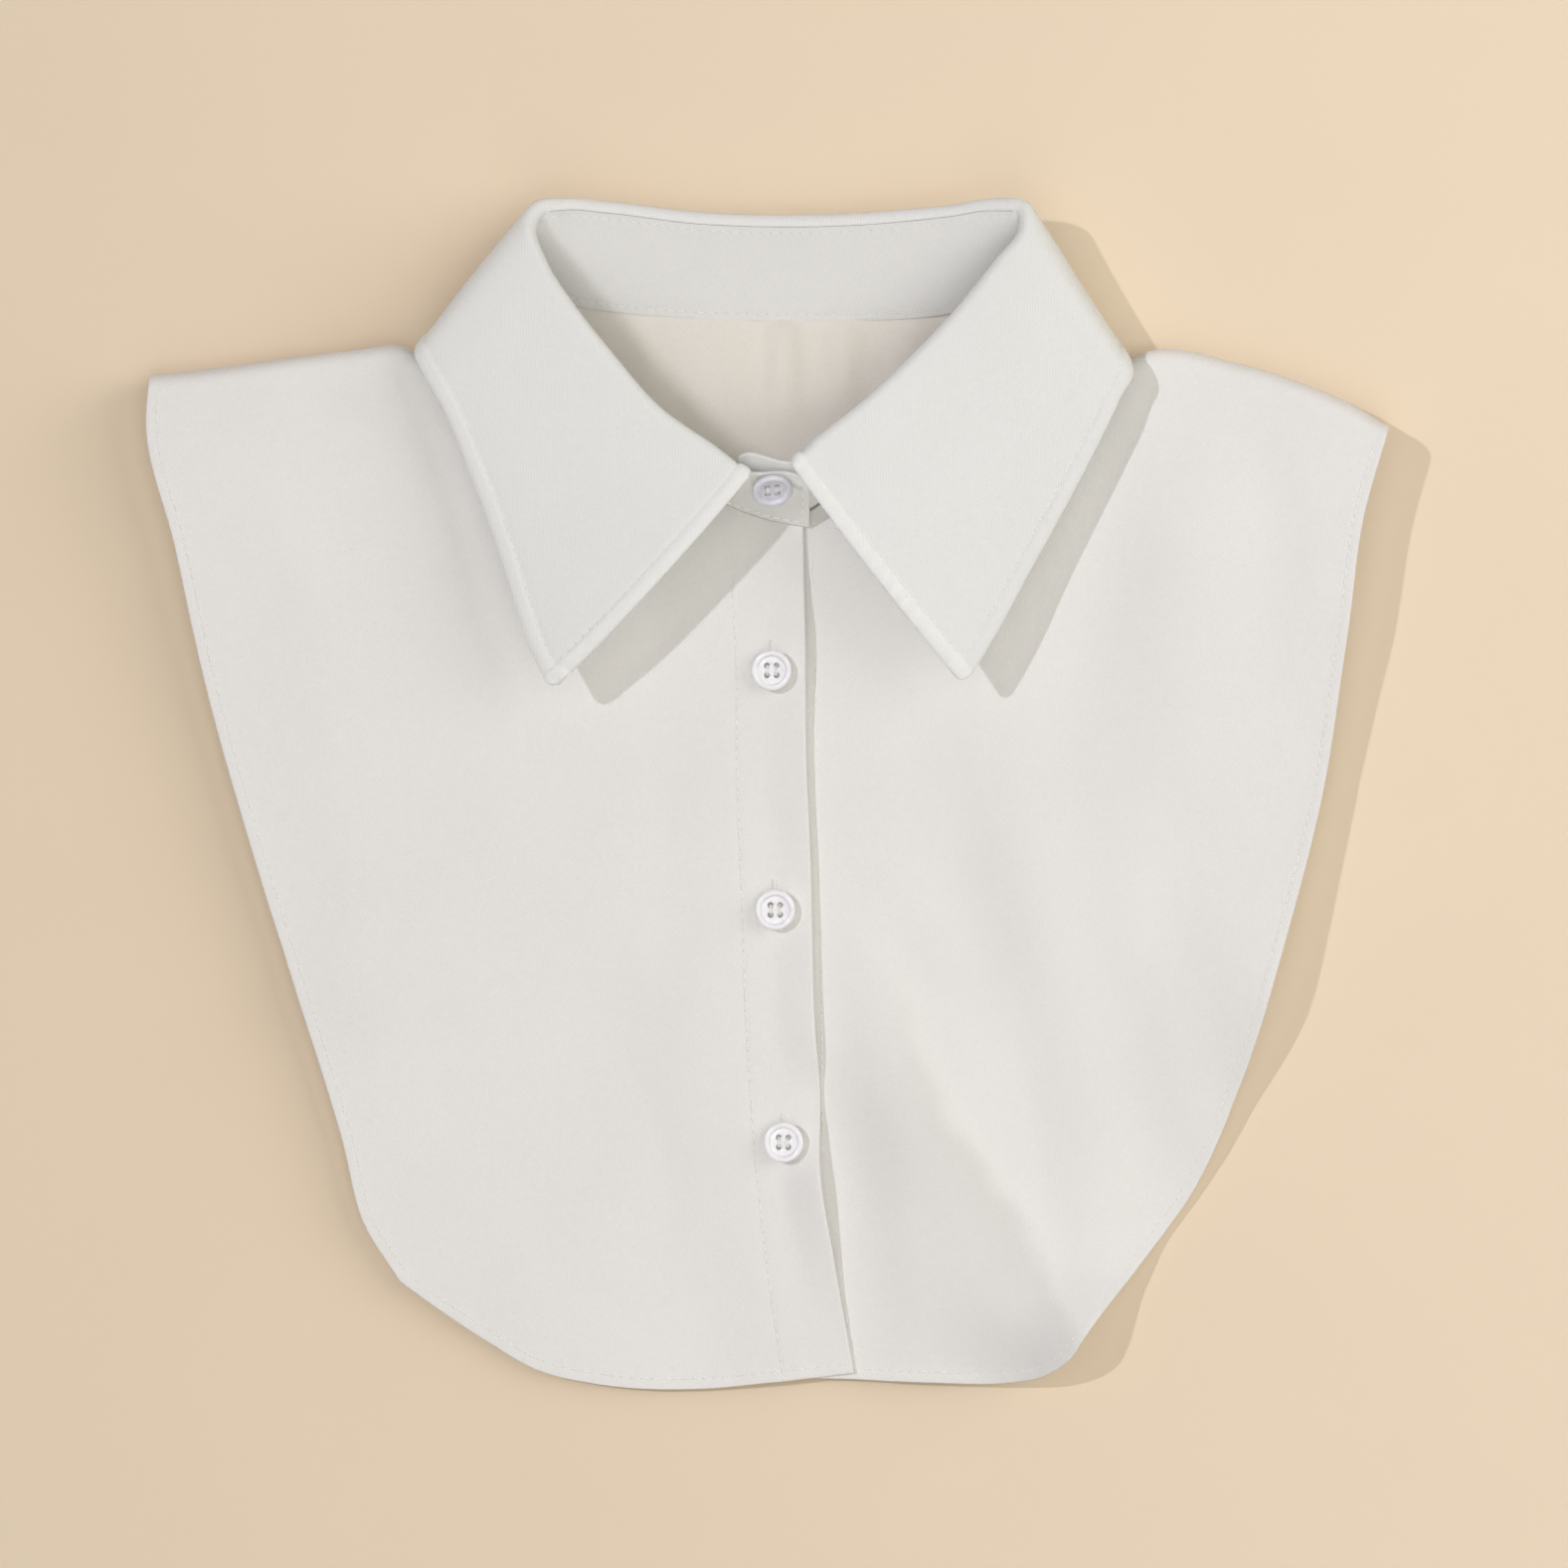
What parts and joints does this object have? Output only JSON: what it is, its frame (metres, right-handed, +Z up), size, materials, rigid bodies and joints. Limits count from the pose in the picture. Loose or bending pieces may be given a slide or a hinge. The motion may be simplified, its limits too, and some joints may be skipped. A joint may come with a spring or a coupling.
{
  "type": "detachable shirt collar",
  "caption": "False shirt collar laid flat: a pointed leaf on a buttoned band stand, with a buttonhole placket and curved front and back panels that end at the chest.",
  "frame": {"origin": "on the surface that the garment lies on, under the middle of its bounding box", "axes": "+X to the right of the laid garment as seen from above, towards the wearer's left; +Y from the hem up to the collar; +Z up from the surface, out of the garment's front"},
  "size_m": [0.3474, 0.3338, 0.03],
  "materials": {
    "cloth": "matt off-white fine cotton twill",
    "resin": "polished pale translucent resin"
  },
  "bodies": {
    "root": {"back_panel": "cloth", "front_over": "cloth", "front_under": "cloth", "placket": "cloth", "collar_stand": "cloth", "collar_leaf": "cloth", "button_neck": "resin", "button_1": "resin", "button_2": "resin", "button_3": "resin"}
  },
  "joints": []
}
